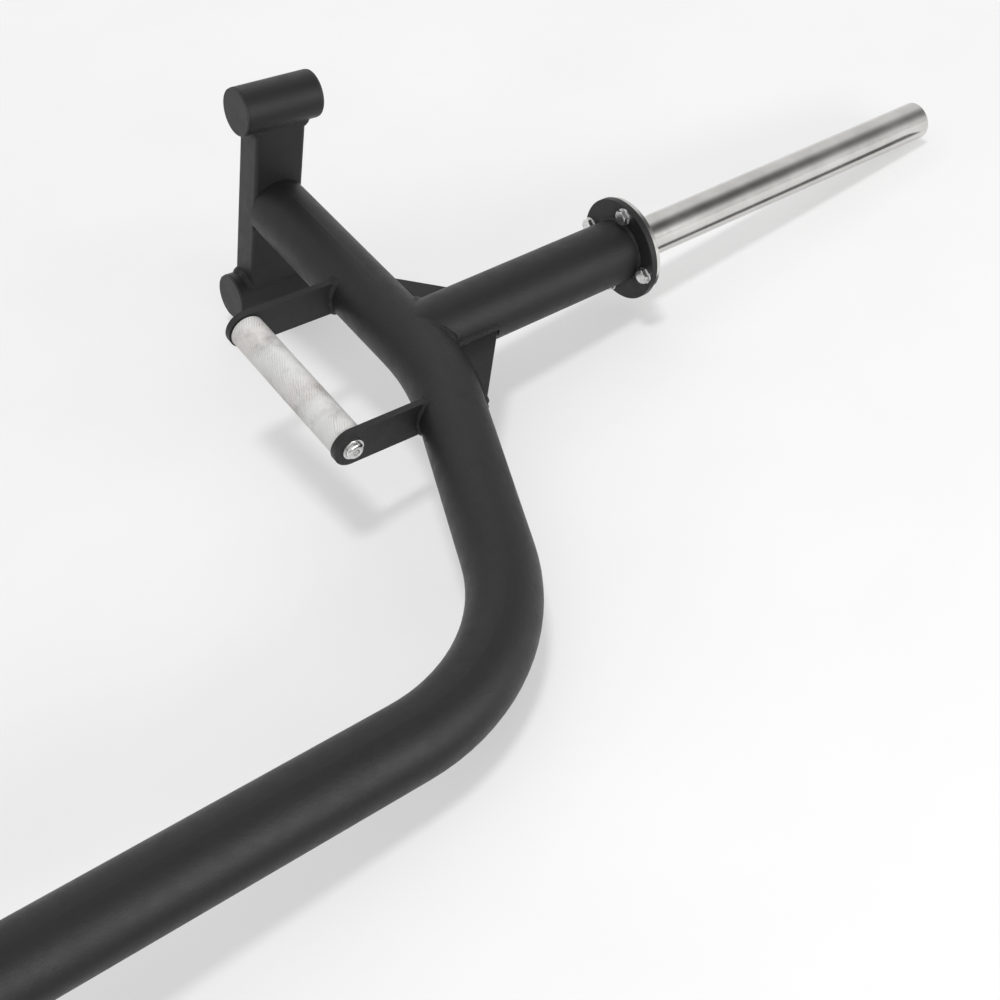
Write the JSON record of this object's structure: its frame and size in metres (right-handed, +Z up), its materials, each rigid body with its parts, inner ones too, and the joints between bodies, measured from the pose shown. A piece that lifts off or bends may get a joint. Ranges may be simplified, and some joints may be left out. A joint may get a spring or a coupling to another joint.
{
  "type": "t bar row lever arm",
  "caption": "Bent tube lever arm of a T-bar row: crossbar with bosses, bolted chrome weight horn, revolving grip and a hinged pivot bracket.",
  "frame": {"origin": "on the floor, under the centre of the whole arm as it lies on its lower boss, the horn tip and a corner of the pivot bracket", "axes": "+Z up from the floor, +Y along the floor in the direction that the weight horn points, +X to the right of +Y"},
  "size_m": [0.8808, 1.8032, 0.3278],
  "materials": {
    "frame_paint": "satin black fine-texture powder coat",
    "cap_paint": "satin black",
    "horn_chrome": "bright hard chrome",
    "grip_zinc": "matt zinc over fine knurling, rubbed by hands",
    "bright_zinc": "bright zinc plated",
    "axle_steel": "turned steel",
    "bush_plastic": "moulded nylon"
  },
  "bodies": {
    "arm": {"main_tube": "frame_paint", "stub_tube": "frame_paint", "upper_boss": "frame_paint", "upper_boss_near_cap": "cap_paint", "upper_boss_far_cap": "cap_paint", "lower_boss": "frame_paint", "lower_boss_near_cap": "cap_paint", "lower_boss_far_cap": "cap_paint", "crossbar": "frame_paint", "inner_gusset": "frame_paint", "outer_gusset": "frame_paint", "stub_flange": "frame_paint", "horn_flange": "horn_chrome", "horn_collar": "horn_chrome", "weight_horn": "horn_chrome", "horn_end_cap": "horn_chrome", "flange_bolts": "bright_zinc", "flange_washers": "bright_zinc", "rear_lug": "frame_paint", "front_lug": "frame_paint", "grip_axle": "axle_steel", "grip_screws": "bright_zinc", "pivot_hub": "frame_paint", "upper_pivot_bush": "bush_plastic", "lower_pivot_bush": "bush_plastic"},
    "grip": {"grip_sleeve": "grip_zinc", "rear_grip_bush": "bush_plastic", "front_grip_bush": "bush_plastic"},
    "pivot_bracket": {"bracket_base": "frame_paint", "upper_cheek": "frame_paint", "lower_cheek": "frame_paint", "pivot_axle": "bright_zinc", "pivot_nut": "bright_zinc", "pivot_washers": "bright_zinc"}
  },
  "joints": [
    {"name": "grip_spin", "type": "hinge", "parent": "arm", "child": "grip", "pos_m": [-0.09578, -0.0535, 0.13309], "axis": [0.9838, -0.0192, -0.178], "continuous": true},
    {"name": "arm_pivot", "type": "hinge", "parent": "arm", "child": "pivot_bracket", "pos_m": [0.33141, -0.79244, 0.1281], "axis": [0.1791, 0.1055, 0.9782], "range_deg": [-50, 15]}
  ]
}
